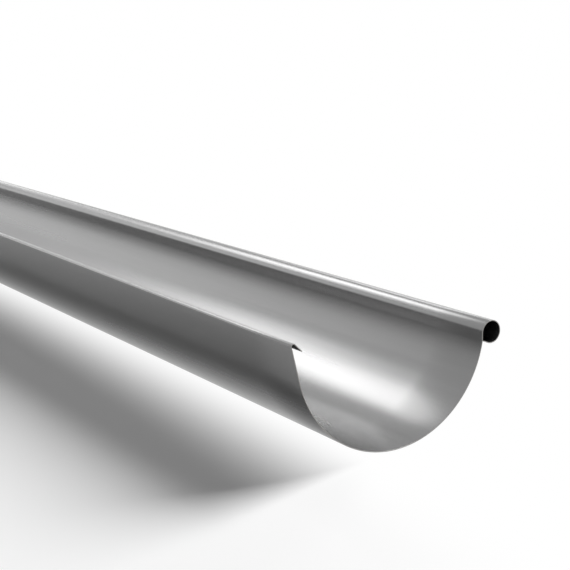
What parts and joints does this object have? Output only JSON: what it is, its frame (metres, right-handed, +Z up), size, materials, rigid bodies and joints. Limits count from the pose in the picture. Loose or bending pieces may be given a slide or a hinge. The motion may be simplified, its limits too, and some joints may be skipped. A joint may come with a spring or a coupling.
{
  "type": "gutter section",
  "caption": "Half round eaves gutter length, roll formed from one sheet, with a rolled front bead and a back edge folded inwards.",
  "frame": {"origin": "centre of the bounding box's bottom: midway along the gutter and midway between the folded back edge and the front bead, on the floor under the trough", "axes": "+X along the gutter towards the end nearest the picture's viewer, +Y across it towards the front bead, +Z up out of the open trough"},
  "size_m": [2, 0.1654, 0.0943],
  "materials": {
    "galvanised_steel": "smooth hot dip zinc coating, semi gloss, with faint roll lines along the gutter"
  },
  "bodies": {
    "root": {"gutter_sheet": "galvanised_steel"}
  },
  "joints": []
}
